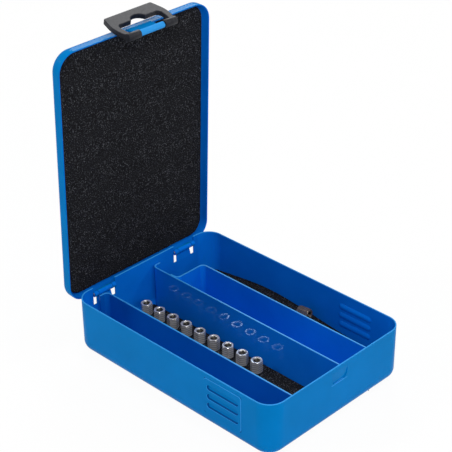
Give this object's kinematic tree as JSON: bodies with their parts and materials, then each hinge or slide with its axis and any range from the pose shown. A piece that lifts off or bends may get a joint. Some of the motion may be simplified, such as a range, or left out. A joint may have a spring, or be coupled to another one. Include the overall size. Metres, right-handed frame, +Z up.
{
  "type": "thread repair kit",
  "caption": "Flat rectangular sheet-steel case with a hinged lid, a swinging hanger latch, foam lining, dividers and a row of hexagonal thread pieces.",
  "frame": {"origin": "centre of the flat underside of the base, on the surface the case stands on", "axes": "+X along the hinge, +Y towards the hinge (the latch side faces -Y), +Z up; the lid stands open"},
  "size_m": [0.118, 0.173, 0.203],
  "materials": {
    "blue_paint": "gloss blue enamel",
    "black_plastic": "satin black",
    "black_foam": "speckled open-cell foam",
    "wire_steel": "drawn wire",
    "bright_steel": "machined bright"
  },
  "bodies": {
    "base": {"base_tray": "blue_paint", "hinge_pin_left": "wire_steel", "hinge_pin_right": "wire_steel", "divider_left": "blue_paint", "divider_centre": "blue_paint", "divider_right": "blue_paint", "foam_centre": "black_foam", "foam_right": "black_foam"},
    "lid": {"lid_tray": "blue_paint", "lid_foam": "black_foam"},
    "latch": {"latch": "black_plastic"},
    "thread_piece_1": {"thread_piece_1": "bright_steel"},
    "thread_piece_2": {"thread_piece_2": "bright_steel"},
    "thread_piece_3": {"thread_piece_3": "bright_steel"},
    "thread_piece_4": {"thread_piece_4": "bright_steel"},
    "thread_piece_5": {"thread_piece_5": "bright_steel"},
    "thread_piece_6": {"thread_piece_6": "bright_steel"},
    "thread_piece_7": {"thread_piece_7": "bright_steel"},
    "thread_piece_8": {"thread_piece_8": "bright_steel"},
    "thread_piece_9": {"thread_piece_9": "bright_steel"},
    "thread_piece_10": {"thread_piece_10": "bright_steel"}
  },
  "joints": [
    {"name": "lid_hinge", "type": "hinge", "parent": "base", "child": "lid", "pos_m": [0, 0.08065, 0.0317], "axis": [1, 0, 0], "range_deg": [0, 88]},
    {"name": "latch_hinge", "type": "hinge", "parent": "lid", "child": "latch", "pos_m": [0, 0.06566, 0.19736], "axis": [1, 0, 0], "range_deg": [-5, 170.5]},
    {"name": "thread_piece_1_lift", "type": "slide", "parent": "base", "child": "thread_piece_1", "axis": [0, 0, 1], "range_m": [0, 0.05]},
    {"name": "thread_piece_2_lift", "type": "slide", "parent": "base", "child": "thread_piece_2", "axis": [0, 0, 1], "range_m": [0, 0.05]},
    {"name": "thread_piece_3_lift", "type": "slide", "parent": "base", "child": "thread_piece_3", "axis": [0, 0, 1], "range_m": [0, 0.05]},
    {"name": "thread_piece_4_lift", "type": "slide", "parent": "base", "child": "thread_piece_4", "axis": [0, 0, 1], "range_m": [0, 0.05]},
    {"name": "thread_piece_5_lift", "type": "slide", "parent": "base", "child": "thread_piece_5", "axis": [0, 0, 1], "range_m": [0, 0.05]},
    {"name": "thread_piece_6_lift", "type": "slide", "parent": "base", "child": "thread_piece_6", "axis": [0, 0, 1], "range_m": [0, 0.05]},
    {"name": "thread_piece_7_lift", "type": "slide", "parent": "base", "child": "thread_piece_7", "axis": [0, 0, 1], "range_m": [0, 0.05]},
    {"name": "thread_piece_8_lift", "type": "slide", "parent": "base", "child": "thread_piece_8", "axis": [0, 0, 1], "range_m": [0, 0.05]},
    {"name": "thread_piece_9_lift", "type": "slide", "parent": "base", "child": "thread_piece_9", "axis": [0, 0, 1], "range_m": [0, 0.05]},
    {"name": "thread_piece_10_lift", "type": "slide", "parent": "base", "child": "thread_piece_10", "axis": [0, 0, 1], "range_m": [0, 0.05]}
  ]
}
